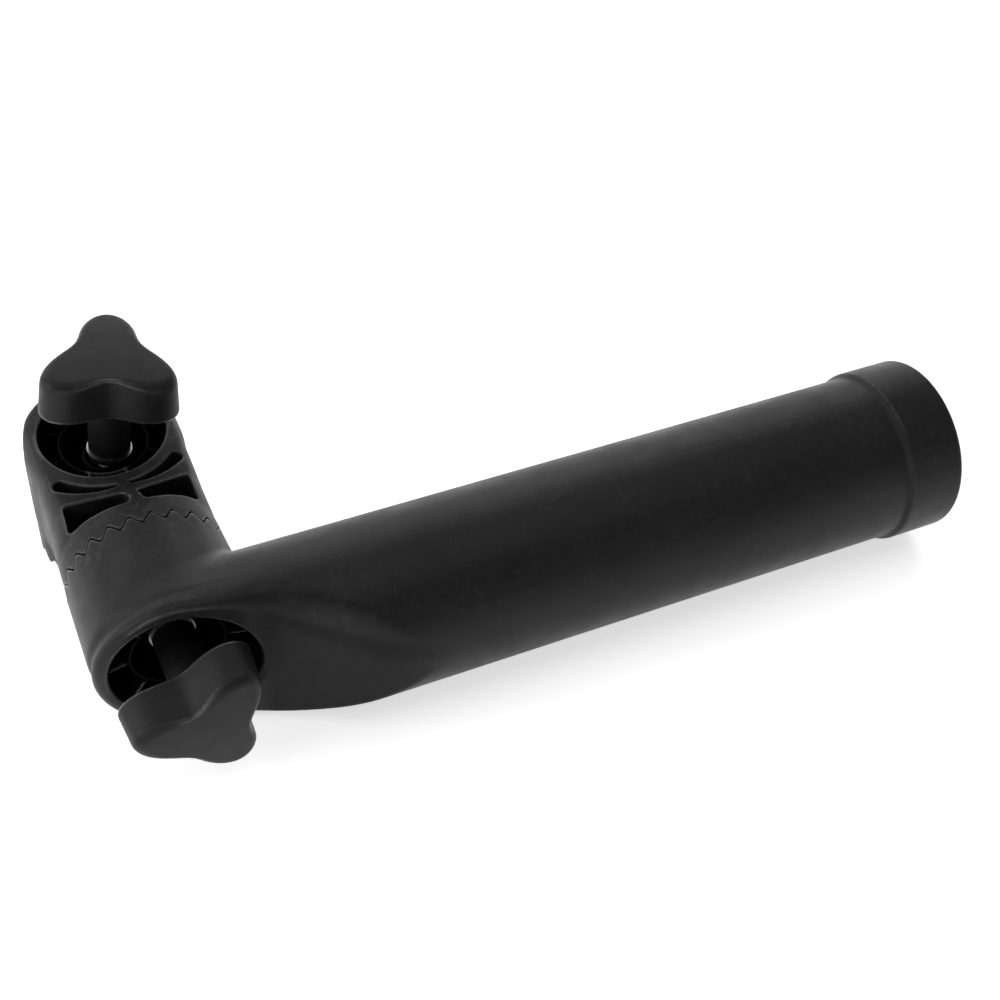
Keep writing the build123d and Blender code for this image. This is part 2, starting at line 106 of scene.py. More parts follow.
# rod tube
TUBE_OFFSET = 36.0          # tooth plane to tube axis
TUBE_RADIUS_HUB = 27.07
TUBE_RADIUS_MOUTH = 27.32
TUBE_BORE_RADIUS = 24.0
TUBE_END = 252.9
BORE_START = 68.0           # the bore is a little narrower before this
BORE_STEP = 0.3
WALL = 3.2
COLLAR_START = 234.2
COLLAR_RADIUS = 28.7
COLLAR_RAMP = 2.6
SEAM_Y = -79.2
SEAM_Y_AT_HUB = -76.0
SEAM_START = -16.0
HUB_FACE = 37.9             # tooth plane to the hub's face
HUB_RADIUS_FRONT = 26.0
HUB_BLEND_LENGTH = 14.0     # how far the tube's closed end bulges past the tilt axis
HUB_BLEND_DROP = 7.0
HUB_RECESS_RADIUS = 21.2
HUB_RECESS_FLOOR = 17.0
HUB_MOUTH_RADIUS = 2.1      # rounding of the recess's mouth
LIP_RADIUS = 2.6
LIP_GROOVE = 0.9            # shallow groove behind the lip
LIP_GROOVE_BACK = 5.6       # hub face to the groove
LIP_GROOVE_WIDTH = 1.7
TILT_BOSS_TOP = 22.7
HUB_RIB_RING = 14.2
HUB_RIB_TOP = HUB_FACE - 6.0
HUB_RING_TOP = HUB_FACE - 7.5
HUB_RIB_PHASE = 0
SLANT_SCALE = 0.93          # keeps distances to the sloping end true, as they are measured along Y
SLANT_SOFTNESS = 9.0        # extra rounding where the slanted end runs out into the tube's top

# knobs
KNOB_MEAN_RADIUS = 17.15
KNOB_LOBE = 5.1
KNOB_NARROWING = 0.45
KNOB_SIDE_HEIGHT = 13.4
KNOB_CROWN = 1.5
KNOB_DRAFT = 4.5            # degrees
KNOB_WALL = 2.7
KNOB_EDGE_HOLLOW = 0.9      # the top edge is tight in the hollows and softer on the lobes
KNOB_EDGE_LOBE = 3.0
STEM_RADIUS = 6.45
STEM_LENGTH = 23.1
WASHER_THICKNESS = 1.6
LEAN = 5.5                  # degrees that the loose swivel knob leans
PIVOT_HEIGHT = 20.0
SWIVEL_KNOB_RISE = 39.8
SWIVEL_KNOB_TURN = 76.0
TILT_KNOB_TURN = 54.0

# rubbed edges: edge wear that also carries a painted highlight
EDGE_WEAR_AND_HIGHLIGHT_BEND = 0.17            # outward bend, per millimetre, at which an edge begins to look rubbed and to get its painted highlight
EDGE_WEAR_AND_HIGHLIGHT_RANGE = 0.28

TOOTH_PLANE_Y = -ARM_REACH
TUBE_AXIS_Y = TOOTH_PLANE_Y - TUBE_OFFSET


# ---- distance fields ----------------------------------------------------------------------------------
def spaced(*stops):
    """Coordinates with a chosen spacing between stops: start, spacing, stop, spacing, stop and so on."""
    values = [stops[0]]
    for i in range(1, len(stops), 2):
        spacing, stop = stops[i], stops[i + 1]
        count = max(1, round((stop - values[-1]) / spacing))
        values += list(np.linspace(values[-1], stop, count + 1)[1:])
    return np.array(values)


def lattice(axes):
    """Three broadcasting coordinate arrays from three axes."""
    return np.meshgrid(*[a.astype(np.float32) for a in axes], indexing="ij", sparse=True)


def join(a, b, r=None):
    """Union of two fields, with an inside corner of radius r."""
    if r is None:
        return np.minimum(a, b)
    return np.maximum(r, np.minimum(a, b)) - np.hypot(np.maximum(r - a, 0), np.maximum(r - b, 0))


def meet(a, b, r=None):
    """Intersection of two fields, with an outside edge of radius r."""
    return -join(-a, -b, r)


def cut(a, b, r=None):
    """Field a with field b taken away, its edge rounded to r."""
    return meet(a, -b, r)


def step(t):
    """Smooth rise from 0 to 1."""
    t = np.clip(t, 0, 1)
    return t * t * (3 - 2 * t)


def polygon_field(x, y, corners):
    """Signed distance in the plane to a closed outline."""
    nearest = np.full(np.broadcast_shapes(x.shape, y.shape), 1e9, np.float32)
    inside = np.zeros(nearest.shape, bool)
    count = len(corners)
    for i in range(count):
        ax, ay = corners[i]
        bx, by = corners[(i + 1) % count]
        ex, ey = bx - ax, by - ay
        along = np.clip(((x - ax) * ex + (y - ay) * ey) / (ex * ex + ey * ey), 0, 1)
        nearest = np.minimum(nearest, np.hypot(x - ax - along * ex, y - ay - along * ey))
        if ay != by:
            crossing = (y < ay) != (y < by)
            inside ^= crossing & (x < ex * (y - ay) / ey + ax)
    return np.where(inside, -nearest, nearest)


def arc_points(start, middle, end, count=12):
    """Points along the arc through three places."""
    (ax, ay), (bx, by), (cx, cy) = start, middle, end
    d = 2 * (ax * (by - cy) + bx * (cy - ay) + cx * (ay - by))
    a2, b2, c2 = ax * ax + ay * ay, bx * bx + by * by, cx * cx + cy * cy
    ox = (a2 * (by - cy) + b2 * (cy - ay) + c2 * (ay - by)) / d
    oy = (a2 * (cx - bx) + b2 * (ax - cx) + c2 * (bx - ax)) / d
    radius = math.hypot(ax - ox, ay - oy)
    first = math.atan2(ay - oy, ax - ox)
    mid = (math.atan2(by - oy, bx - ox) - first) % (2 * math.pi)
    last = (math.atan2(cy - oy, cx - ox) - first) % (2 * math.pi)
    if mid > last:
        last -= 2 * math.pi
    angles = [first + last * i / count for i in range(count + 1)]
    return [(ox + radius * math.cos(t), oy + radius * math.sin(t)) for t in angles]


def tooth_height(angle, radius, crest_at):
    """Height of the tooth surface over the pitch plane."""
    pitch = 2 * math.pi / TOOTH_COUNT
    crest = math.radians(CREST_HALF_ANGLE)
    phase = np.abs((angle - crest_at + pitch / 2) % pitch - pitch / 2)
    wave = np.clip((pitch / 2 - 2 * phase) / (pitch / 2 - 2 * crest), -1, 1)
    return wave * TOOTH_HEIGHT / 2 * np.minimum(radius / JOINT_RADIUS, 1.02)


def tooth_shift(angle, radius, crest_at):
    """How far the surface of a toothed end stands out of the pitch plane."""
    dish = -TOOTH_HEIGHT / 2 * radius / JOINT_RADIUS
    on_ring = step((radius - JOINT_INNER_RADIUS + 0.4) / 0.8)
    return dish + (tooth_height(angle, radius, crest_at) - dish) * on_ring


def near_plane(distance):
    """Weight that carries a toothed end's relief a little way back from its plane."""
    return step(1 - (np.abs(distance) - RELIEF_DEPTH) / RELIEF_FADE)


def arm_teeth(points):
    """Raise both rings of teeth on the arm, whose ends are flat in its field."""
    x, y, z = points.T
    w = z - AXIS_HEIGHT
    shift = tooth_shift(np.arctan2(x, w), np.hypot(x, w), 0.0) * near_plane(y - TOOTH_PLANE_Y)
    swivel = tooth_shift(np.arctan2(y, x), np.hypot(x, y), 0.0) * near_plane(z)
    return np.stack([x, y - shift, z - swivel * (y > -TOOTH_LIMIT)], axis=1)


def tube_teeth(points):
    """Raise the ring of teeth on the tube's hub, whose end is flat in its field."""
    x, y, z = points.T
    w = z - AXIS_HEIGHT
    half_pitch = math.pi / TOOTH_COUNT
    shift = tooth_shift(np.arctan2(x, w), np.hypot(x, w), half_pitch) * near_plane(y - TOOTH_PLANE_Y)
    return np.stack([x, y + shift * (x < TOOTH_LIMIT), z], axis=1)


def mark_edges(mesh):
    """Store on each vertex how sharply the surface bends outwards there: 0 on open faces, 1 on edges."""
    count = len(mesh.vertices)
    points, normals = np.empty(count * 3), np.empty(count * 3)
    mesh.vertices.foreach_get("co", points)
    mesh.vertex_normals.foreach_get("vector", normals)
    points, normals = points.reshape(-1, 3) / MM, normals.reshape(-1, 3)
    ends = np.empty(len(mesh.edges) * 2, np.int32)
    mesh.edges.foreach_get("vertices", ends)
    a, b = ends.reshape(-1, 2).T
    along = points[b] - points[a]
    bend = ((normals[b] - normals[a]) * along).sum(axis=1) / np.maximum((along * along).sum(axis=1), 1e-4)
    ways = np.bincount(a, minlength=count) + np.bincount(b, minlength=count)
    for _ in range(3):
        total = np.bincount(a, bend, count) + np.bincount(b, bend, count)
        mean = total / np.maximum(ways, 1)
        bend = (mean[a] + mean[b]) / 2
    # edge mask: drives the lighter edge colour, which is partly edge wear and partly painted highlight
    wear_and_highlight = mesh.attributes.new("edge", "FLOAT", "POINT")
    wear_and_highlight.data.foreach_set("value", step((mean - EDGE_WEAR_AND_HIGHLIGHT_BEND) / EDGE_WEAR_AND_HIGHLIGHT_RANGE).astype(np.float32))


def mesh_from_field(name, shape, axes, place=None, warp=None, painted_shade=None):
    """Mesh piece of a shape's field on a lattice; place turns local millimetres into the row frame.

    The painted_shade function gives each point's weight of painted shade, from 0 in the open to 1 deep in a
    recess.
    """
    field = shape(*lattice(axes))
    grid = openvdb.FloatGrid()
    grid.copyFromArray(np.ascontiguousarray(field, dtype=np.float32))
    steps, quads = grid.convertToQuads(isovalue=0)
    points = np.stack([np.interp(steps[:, i], np.arange(len(axes[i])), axes[i]) for i in range(3)], axis=1)
    if warp is not None:
        points = warp(points)
    local = points
    if place is not None:
        m = np.array(place)
        points = points @ m[:3, :3].T + m[:3, 3]
    points = points * MM
    mesh = bpy.data.meshes.new(name)
    mesh.vertices.add(len(points))
    mesh.vertices.foreach_set("co", points.astype(np.float32).ravel())
    quads = quads.astype(np.int32)
    mesh.loops.add(quads.size)
    mesh.loops.foreach_set("vertex_index", quads.ravel())
    mesh.polygons.add(len(quads))
    mesh.polygons.foreach_set("loop_start", np.arange(0, quads.size, 4, dtype=np.int32))
    mesh.update(calc_edges=True)
    mesh.polygons.foreach_set("use_smooth", np.ones(len(quads), bool))
    mesh.validate()
    mark_edges(mesh)
    # painted shade weight of each vertex, kept as an attribute that the material darkens with
    depth = np.zeros(len(points)) if painted_shade is None else painted_shade(local)
    painted_shade_weights = mesh.attributes.new("painted_shade", "FLOAT", "POINT")
    painted_shade_weights.data.foreach_set("value", depth.astype(np.float32))
    piece = bpy.data.objects.new(name, mesh)
    bpy.context.scene.collection.objects.link(piece)
    return piece


# ---- shared details -----------------------------------------------------------------------------------
def recess_ribs(a, b, h, radius, ring_radius, floor, wall_top, ring_top, boss_top, phase):
    """Thin ring, eight radial ribs and the boss in a knob recess; h is the height out of the recess."""
    across = np.hypot(a, b)
    half = RIB_THICKNESS / 2
    ring = meet(np.abs(across - ring_radius) - half, h - ring_top, 0.2)
    low = boss_top - RIB_DIP
    inner = low + (ring_top - low) * (across - BOSS_RADIUS) / (ring_radius - BOSS_RADIUS)
    outer = ring_top + (wall_top - ring_top) * (across - ring_radius) / (radius - ring_radius)
    top = np.where(across < ring_radius, inner, outer)
    angle = np.arctan2(b, a)
    turn = (angle - math.radians(phase) + math.pi / 8) % (math.pi / 4) - math.pi / 8
    ribs = meet(np.abs(across * np.sin(turn)) - half, h - top, 0.2)
    body = join(ring, ribs, 0.4)
    body = meet(body, across - radius - 0.6)
    boss = meet(across - BOSS_RADIUS, h - boss_top, 0.4)
    return meet(join(body, boss, 0.4), floor - 2 - h)


# ---- swivel arm ---------------------------------------------------------------------------------------
def barrel_field(x, y, z):
    """Arm from the round tilt hub to the squarer body over the swivel hub."""
    collar_end = TOOTH_PLANE_Y + RING_LENGTH
    stations = [TOOTH_PLANE_Y + 3, collar_end, collar_end + 9.5, collar_end + 19, 0]
    half_width = np.interp(y, stations, [24.75, 24.3, 23.6, 23.3, 23.8])
    half_height = np.interp(y, stations, [24.75, 24.3, 23.9, 23.4, 23.4])
    power = np.interp(y, stations, [2.0, 2.1, 2.9, 4.0, 4.0])
    level = (np.abs(x) / half_width) ** power + (np.abs(z - AXIS_HEIGHT) / half_height) ** power
    return (level ** (1 / power) - 1) * 23.5


def wedge_pocket(x, y, side):
    """Wedge-shaped pocket beside the middle rib."""
    front = TOOTH_PLANE_Y + RING_LENGTH + 0.4
    r = 1.7
    tip, low, high = MIDDLE_RIB_HALF + MIDDLE_RIB_SHIFT * side, front - 0.9, front + 7.8
    bend = 0.29 * r
    tip_front = arc_points((tip + r, low), (tip + bend, low + bend), (tip, low + r), 6)
    tip_back = arc_points((tip, high - r), (tip + bend, high - bend), (tip + r, high), 6)
    outline = tip_front + tip_back + [(17.6, front + 8.9), (18.7, front + 8.7), (19.2, front + 8.0),
                                      (19.4, front + 1.2), (18.8, front + 0.3)]
    return polygon_field(side * x, y, outline)


def crescent_slot(x, y, side):
    """Curved slot between the recess wall and the web, pointed at the middle."""
    inner = RECESS_RADIUS + RING_WALL

    def on_wall(degrees):
        t = math.radians(degrees)
        return (inner * math.sin(t), -inner * math.cos(t))

    wall_end = on_wall(46)
    web_end = (19.3, wall_end[1] - 3.6)
    outline = arc_points(on_wall(4.2), on_wall(25), wall_end)
    outline += arc_points(wall_end, (19.4, wall_end[1] - 0.9), web_end, 6)[1:]
    outline += arc_points(web_end, (12.4, -23.4), (1.8, -inner - 0.7))[1:]
    return polygon_field(side * x, y, outline)


def shoulder_field(x, z):
    """Upright sides with rounded shoulders under the flat top."""
    low_end, middle, crease = (24.2, 35.5), (23.15, 40.9), (20.6, ARM_TOP)
    outline = [(-30, -30), (low_end[0], -30)] + arc_points(low_end, middle, crease, 10)
    outline += [(crease[0], 80), (-30, 80)]
    return polygon_field(np.abs(x), z, outline)


def arm_field(x, y, z):
    """Swivel arm: hubs, barrel, recess, pockets, slots and tooth rings."""
    w = z - AXIS_HEIGHT
    about_swivel = np.hypot(x, y)
    hub = meet(about_swivel - SWIVEL_RADIUS, np.abs(z - 22) - 30)
    tilt_radius = np.hypot(x, w)
    barrel = meet(barrel_field(x, y, z), y - 2.0)
    under = (AXIS_HEIGHT - ARM_UNDERSIDE) - z
    barrel = meet(barrel, np.where(y > TOOTH_PLANE_Y + 8, under, under - JOINT_CLEARANCE), 1.2)
    body = join(barrel, hub, 1.6)
    body = meet(body, shoulder_field(x, z), 0.5)
    collar_end = TOOTH_PLANE_Y + RING_LENGTH
    crown = AXIS_HEIGHT + JOINT_RADIUS + 1.0
    top = crown + (ARM_TOP - crown) * step((y - collar_end + 2.0) / 12.6)
    body = meet(body, (z - top) * 0.9, 0.7)
    recess = meet(about_swivel - RECESS_RADIUS, RECESS_FLOOR - z, 0.6)
    body = cut(body, recess, 0.35)
    stud_boss = meet(tilt_radius - STUD_BOSS_RADIUS, y - TOOTH_PLANE_Y - STUD_BOSS_LENGTH, 0.6)
    for side in (-1, 1):
        pocket = meet(wedge_pocket(x, y, side), POCKET_FLOOR - z, 0.8)
        slot = meet(crescent_slot(x, y, side), SLOT_FLOOR - z, 0.6)
        body = cut(body, cut(pocket, stud_boss, 0.5), 0.3)
        body = cut(body, slot, 0.25)
    ribs = recess_ribs(x, y, z, RECESS_RADIUS, SWIVEL_RIB_RING, RECESS_FLOOR, SWIVEL_RIB_TOP,
                       SWIVEL_RING_TOP, SWIVEL_BOSS_TOP, SWIVEL_RIB_PHASE)
    body = join(body, ribs, 0.4)
    under_recess = meet(about_swivel - UNDER_RECESS_RADIUS, z - UNDER_RECESS_TOP, 0.4)
    body = cut(body, under_recess, 0.3)
    slope = math.tan(math.radians(LEAN + 0.6))
    bore = about_swivel - STUD_HOLE_RADIUS - slope * np.abs(z - PIVOT_HEIGHT)
    body = cut(body, bore, 0.2)
    body = meet(body, -z, TOOTH_EDGE)
    body = meet(body, TOOTH_PLANE_Y + GROOVE_GAP - y, TOOTH_EDGE)
    stud_hole = meet(tilt_radius - STUD_HOLE_RADIUS, y - TOOTH_PLANE_Y - STUD_HOLE_DEPTH)
    return cut(body, stud_hole, 0.2)


def arm_painted_shade(points):
    """Painted shade in the arm's knob recess, weaker on the ribs nearest the tilt joint, which get painted
    light.
    """
    x, y, z = points.T
    across = np.hypot(x, y)
    inside = step((RECESS_RADIUS + 0.5 - across) / 0.6) * step((ARM_TOP - 0.4 - z) / 2.0)
    inside = inside * (z > RECESS_FLOOR - 4)
    aside = np.abs(np.degrees(np.arctan2(y, x)) + 100)
    # painted light: less painted shade on the ribs nearest the tilt joint
    lit = step((34 - aside) / 12) * step((z - 36.5) / 1.5)
    return inside * (0.9 - 0.75 * lit)


# ---- rod tube -----------------------------------------------------------------------------------------
def front_line(x):
    """Y of the hub's face and of the slanted closed end, for each x."""
    y0 = TOOTH_PLANE_Y - HUB_FACE
    stations = [-45, 0, 14, 20, 28, 36, 44, 53, 64, 78, 400]
    drops = [5.4, 0, -2.8, -4.6, -8.8, -12.9, -17.4, -21.9, -25.0, -26.4, -30]
    fine = np.linspace(-45, 120, 331)
    curve = np.interp(fine, stations, drops)
    kernel = np.hanning(23)
    padded = np.pad(curve, 11, mode="edge")
    smooth = np.convolve(padded, kernel / kernel.sum(), mode="valid")
    return y0 + np.interp(x, fine, smooth)


def tube_field(x, y, z):
    """Rod tube with its hub, collar, slanted closed end, knob recess and tooth ring."""
    w = z - AXIS_HEIGHT
    around = np.hypot(y - TUBE_AXIS_Y, w)
    outer = TUBE_RADIUS_HUB + (TUBE_RADIUS_MOUTH - TUBE_RADIUS_HUB) * x / TUBE_END
    collar = step((x - COLLAR_START + COLLAR_RAMP) / COLLAR_RAMP)
    outer = outer + (COLLAR_RADIUS - outer) * collar
    outer = outer - HUB_BLEND_DROP * (np.minimum(x, 0) / HUB_BLEND_LENGTH) ** 2
    tube = meet(around - outer, -HUB_BLEND_LENGTH - x)
    tube = meet(tube, x - TUBE_END, 1.0)
    tilt_radius = np.hypot(x, w)
    reach = (TOOTH_PLANE_Y - y) / (HUB_FACE + 11)
    front = front_line(x)
    groove = LIP_GROOVE * np.exp(-((y - front - LIP_GROOVE_BACK) / LIP_GROOVE_WIDTH) ** 2)
    hub = tilt_radius - (JOINT_RADIUS + (HUB_RADIUS_FRONT + 0.25 - JOINT_RADIUS) * reach) + groove
    body = join(tube, hub, 2.2)
    offset = np.clip((TUBE_AXIS_Y - front) / TUBE_RADIUS_HUB, 0, 1)
    softening = SLANT_SOFTNESS * step((x - 8) / 26) * step((w + 4) / 12)
    sharper = 1 - 0.6 * step((x - 12) / 12) * step(-w / 10)
    blunt = (1 - offset ** 2) ** 0.75
    body = meet(body, (front - y) * SLANT_SCALE, (LIP_RADIUS + softening) * sharper * blunt + 0.01)
    cavity = around - (TUBE_BORE_RADIUS - BORE_STEP * (x < BORE_START))
    cavity = meet(cavity, (front + WALL - y) * SLANT_SCALE, 1.5 * blunt + 0.01)
    cavity = meet(cavity, HUB_RECESS_RADIUS + WALL - tilt_radius, 1.5)
    cavity = meet(cavity, 5 - x)
    body = cut(body, cavity, 0.7)
    recess = meet(tilt_radius - HUB_RECESS_RADIUS, y - TOOTH_PLANE_Y + HUB_RECESS_FLOOR, 0.6)
    body = cut(body, recess, HUB_MOUTH_RADIUS)
    height = TOOTH_PLANE_Y - y
    ribs = recess_ribs(x, w, height, HUB_RECESS_RADIUS, HUB_RIB_RING, HUB_RECESS_FLOOR, HUB_RIB_TOP,
                       HUB_RING_TOP, TILT_BOSS_TOP, HUB_RIB_PHASE)
    body = join(body, ribs, 0.4)
    body = meet(body, y - TOOTH_PLANE_Y + GROOVE_GAP / 2, TOOTH_EDGE)
    stud_hole = meet(tilt_radius - STUD_HOLE_RADIUS, TOOTH_PLANE_Y - 60 - y)
    return cut(body, stud_hole, 0.2)


def tube_painted_shade(points):
    """Painted shade in the hub's knob recess, weaker on the outer ends of its ribs, plus some painted shade
    along the slanted closed end.
    """
    x, y, z = points.T
    across = np.hypot(x, z - AXIS_HEIGHT)
    depth = y - front_line(x)
    inside = step((HUB_RECESS_RADIUS + 0.8 - across) / 0.6) * step((depth + 0.2) / 0.9)
    inside = inside * (y < TOOTH_PLANE_Y - HUB_RECESS_FLOOR + 4)
    on_ribs = step((across - 15.0) / 1.0) * step((HUB_RECESS_RADIUS - 0.5 - across) / 0.6)
    # painted shade along the slanted closed end beside the knob
    on_slant = step((1.6 - np.abs(depth)) / 1.2) * step((x - 17) / 8) * step((78 - x) / 24)
    return np.maximum(inside * (0.9 - 0.75 * on_ribs), 0.45 * on_slant)


# ---- knobs --------------------------------------------------------------------------------------------
def lobed(rho, angle, height, inset):
    """Distance to the three-lobed side wall, which draws in as it rises."""
    draw = height * math.tan(math.radians(KNOB_DRAFT))
    lobe = KNOB_LOBE * np.cos(3 * angle) + KNOB_NARROWING * np.cos(6 * angle)
    radius = KNOB_MEAN_RADIUS + lobe - inset - draw
    turning = 3 * KNOB_LOBE * np.sin(3 * angle) + 6 * KNOB_NARROWING * np.sin(6 * angle)
    slope = turning / np.maximum(rho, 8.0)
    return (rho - radius) / np.sqrt(1 + slope * slope)


def knob_field(x, y, z):
    """Three-lobe knob, cored underneath, with its stem."""
    rho = np.hypot(x, y)
    angle = np.arctan2(y, x)
    reach = KNOB_MEAN_RADIUS + KNOB_LOBE
    dome_radius = (reach ** 2 + KNOB_CROWN ** 2) / (2 * KNOB_CROWN)
    dome = np.sqrt(rho ** 2 + (z - KNOB_SIDE_HEIGHT - KNOB_CROWN + dome_radius) ** 2) - dome_radius
    edge = KNOB_EDGE_HOLLOW + (KNOB_EDGE_LOBE - KNOB_EDGE_HOLLOW) * (1 + np.cos(3 * angle)) / 2
    shell = meet(lobed(rho, angle, z, 0.0), dome, edge)
    shell = meet(shell, -z, 0.5)
    hollow = meet(lobed(rho, angle, z, KNOB_WALL), z - KNOB_SIDE_HEIGHT + 3.5, 0.8)
    hollow = meet(hollow, STEM_RADIUS + 1.2 - rho, 0.5)
    sector = (angle + math.pi / 6) % (math.pi / 3) - math.pi / 6
    hollow = meet(hollow, 0.9 - np.abs(rho * np.sin(sector)), 0.4)
    body = cut(shell, hollow, 0.3)
    stem = meet(rho - STEM_RADIUS, np.abs(z + STEM_LENGTH / 2 - 2) - STEM_LENGTH / 2 - 2, 0.5)
    return join(body, stem, 0.6)


def swivel_place():
    """Place of the leaning swivel knob."""
    lean = Matrix.Rotation(math.radians(LEAN), 4, "Y")
    turn = Matrix.Rotation(math.radians(SWIVEL_KNOB_TURN), 4, "Z")
    rise = Matrix.Translation((0, 0, SWIVEL_KNOB_RISE))
    return Matrix.Translation((0, 0, PIVOT_HEIGHT)) @ lean @ rise @ turn


def tilt_place():
    """Place of the tilt knob, which points along -Y."""
    rim = TILT_BOSS_TOP + WASHER_THICKNESS + STEM_LENGTH
    facing = Matrix.Rotation(math.radians(90), 4, "X")
    turn = Matrix.Rotation(math.radians(TILT_KNOB_TURN), 4, "Z")
    return Matrix.Translation((0, TOOTH_PLANE_Y - rim, AXIS_HEIGHT)) @ facing @ turn


def build_shapes():
    """All detailed plastic pieces, each standing for its node of the model."""
    arm_axes = (spaced(-26.5, 0.42, 26.5), spaced(-48.5, 0.4, -36.0, 0.42, 26.5), spaced(-3.5, 0.42, 53.0))
    arm = mesh_from_field("swivel_arm_body", arm_field, arm_axes, warp=arm_teeth, painted_shade=arm_painted_shade)
    tube_axes = (spaced(-28.5, 0.5, 30.0, 0.6, 84.0, 3.0, COLLAR_START - 5, 0.4, COLLAR_START + 2, 1.5,
                        TUBE_END - 3, 0.4, TUBE_END + 2),
                 spaced(-111.0, 0.5, -41.0), spaced(-5.0, 0.5, 57.0))
    tube = mesh_from_field("rod_tube_body", tube_field, tube_axes, warp=tube_teeth, painted_shade=tube_painted_shade)
    knob_axes = (spaced(-25.0, 0.4, 25.0), spaced(-25.0, 0.4, 25.0), spaced(-25.0, 0.4, 18.0))
    upper = mesh_from_field("swivel_knob_body", knob_field, knob_axes, swivel_place())
    front = mesh_from_field("tilt_knob_body", knob_field, knob_axes, tilt_place())
    rides = ((arm, "arm", "swivel_arm"), (tube, "tube", "rod_tube"),
             (upper, "swivel_clamp", "swivel_knob"), (front, "tilt_clamp", "tilt_knob"))
    for piece, body, node in rides:
        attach(piece, body)
        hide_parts(node)
    return arm, tube, upper, front


# ---- materials ----------------------------------------------------------------------------------------
PLASTIC_IOR = 1.26
# near-black used for painted shade in recesses, and as the colour of the seam line
SHADE = (0.001, 0.001, 0.001)


def new_material(name):
    """Empty node material, with its node tree and its Principled shader."""
    material = bpy.data.materials.new(name)
    material.use_nodes = True
    return material, material.node_tree, material.node_tree.nodes["Principled BSDF"]


def feed(tree, socket, value):
    """Give an input a number, a colour or another node's output."""
    if isinstance(value, (int, float)):
        socket.default_value = value
    elif isinstance(value, tuple):
        socket.default_value = (*value, 1)
    else:
        tree.links.new(value, socket)


def noise(tree, coords, scale, detail=4.0, rough=0.6):
    """Noise factor at a scale in features per metre."""
    tex = tree.nodes.new("ShaderNodeTexNoise")
    for socket, value in (("Scale", scale), ("Detail", detail), ("Roughness", rough), ("Vector", coords)):
        feed(tree, tex.inputs[socket], value)
    return tex.outputs["Fac"]


def spread(tree, value, low, high, out_low=0.0, out_high=1.0):
    """Map a value from one range to another, clamped."""
    node = tree.nodes.new("ShaderNodeMapRange")
    for socket, number in (("From Min", low), ("From Max", high), ("To Min", out_low), ("To Max", out_high)):
        feed(tree, node.inputs[socket], number)
    feed(tree, node.inputs["Value"], value)
    return node.outputs["Result"]


def mixed(tree, factor, low, high):
    """Colour between two colours."""
    mix = tree.nodes.new("ShaderNodeMix")
    mix.data_type = "RGBA"
    for socket, value in (("A", low), ("B", high), ("Factor", factor)):
        feed(tree, mix.inputs[socket], value)
    return mix.outputs["Result"]


def maths(tree, operation, a, b=0.0):
    """Result of one sum on two values."""
    node = tree.nodes.new("ShaderNodeMath")
    node.operation = operation
    for socket, value in zip(node.inputs, (a, b)):
        feed(tree, socket, value)
    return node.outputs[0]


def product(tree, first, *others):
    """Values multiplied together."""
    for other in others:
        first = maths(tree, "MULTIPLY", first, other)
    return first


def attribute(tree, name):
    """Value that the mesh carries on its vertices."""
    node = tree.nodes.new("ShaderNodeAttribute")
    node.attribute_name = name
    return node.outputs["Fac"]


def scuff_marks(tree, coords, y, mottle_scale):
    """Patches of fine pale marks, stronger towards the tilt joint."""
    fine = noise(tree, coords, mottle_scale * 9, 8.0, 0.75)
    patches = noise(tree, coords, mottle_scale * 1.7, 3.0, 0.5)
    near_teeth = spread(tree, y, -0.060, -0.046, 0.35, 1.0)
    return product(tree, spread(tree, fine, 0.48, 0.72), spread(tree, patches, 0.4, 0.62), near_teeth)


def seam_line(tree, x, y, z):
    """Mould seam along the tube's top, which bends in beside the hub and stops before the closed end."""
    seam_y = spread(tree, x, 0.008, 0.040, SEAM_Y_AT_HUB * MM, SEAM_Y * MM)
    aside = maths(tree, "ABSOLUTE", maths(tree, "SUBTRACT", y, seam_y))
    thin = spread(tree, aside, 0.00006, 0.00024, 1.0, 0.0)
    on_top = spread(tree, z, AXIS_HEIGHT * MM, (AXIS_HEIGHT + 2) * MM)
    started = spread(tree, x, SEAM_START * MM, (SEAM_START + 10) * MM)
    return product(tree, thin, on_top, started)


